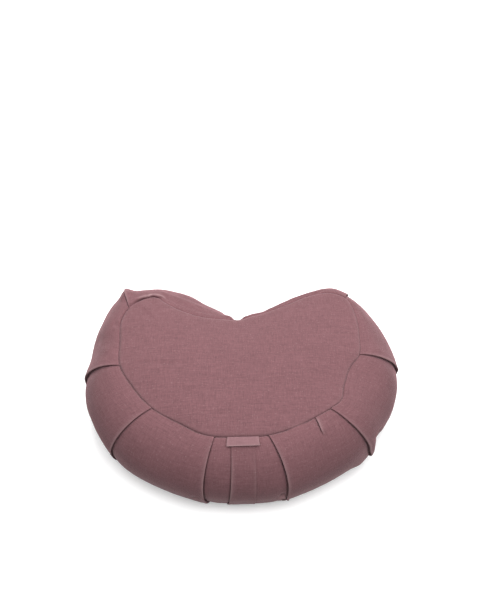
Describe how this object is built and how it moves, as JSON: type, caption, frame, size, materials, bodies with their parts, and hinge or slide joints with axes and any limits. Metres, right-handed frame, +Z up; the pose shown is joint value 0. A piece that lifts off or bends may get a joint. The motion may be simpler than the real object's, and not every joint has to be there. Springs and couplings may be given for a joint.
{
  "type": "crescent meditation cushion",
  "caption": "Filled crescent floor cushion with a nearly flat top panel, a plump side band with knife pleats and a small blank label in the front seam.",
  "frame": {"origin": "middle of the cushion's plan, on the floor that it lies on", "axes": "+X along the crescent's length, to the right as seen from the front; +Y from the rounded front to the hollow back; +Z up"},
  "size_m": [0.4502, 0.3375, 0.1238],
  "materials": {
    "cover_cloth": "matt plain-weave linen in dusty mauve with fine slubs",
    "label_tape": "matt woven tape, blank"
  },
  "bodies": {
    "root": {"side_band": "cover_cloth", "top_panel": "cover_cloth", "bottom_panel": "cover_cloth", "label": "label_tape"}
  },
  "joints": []
}
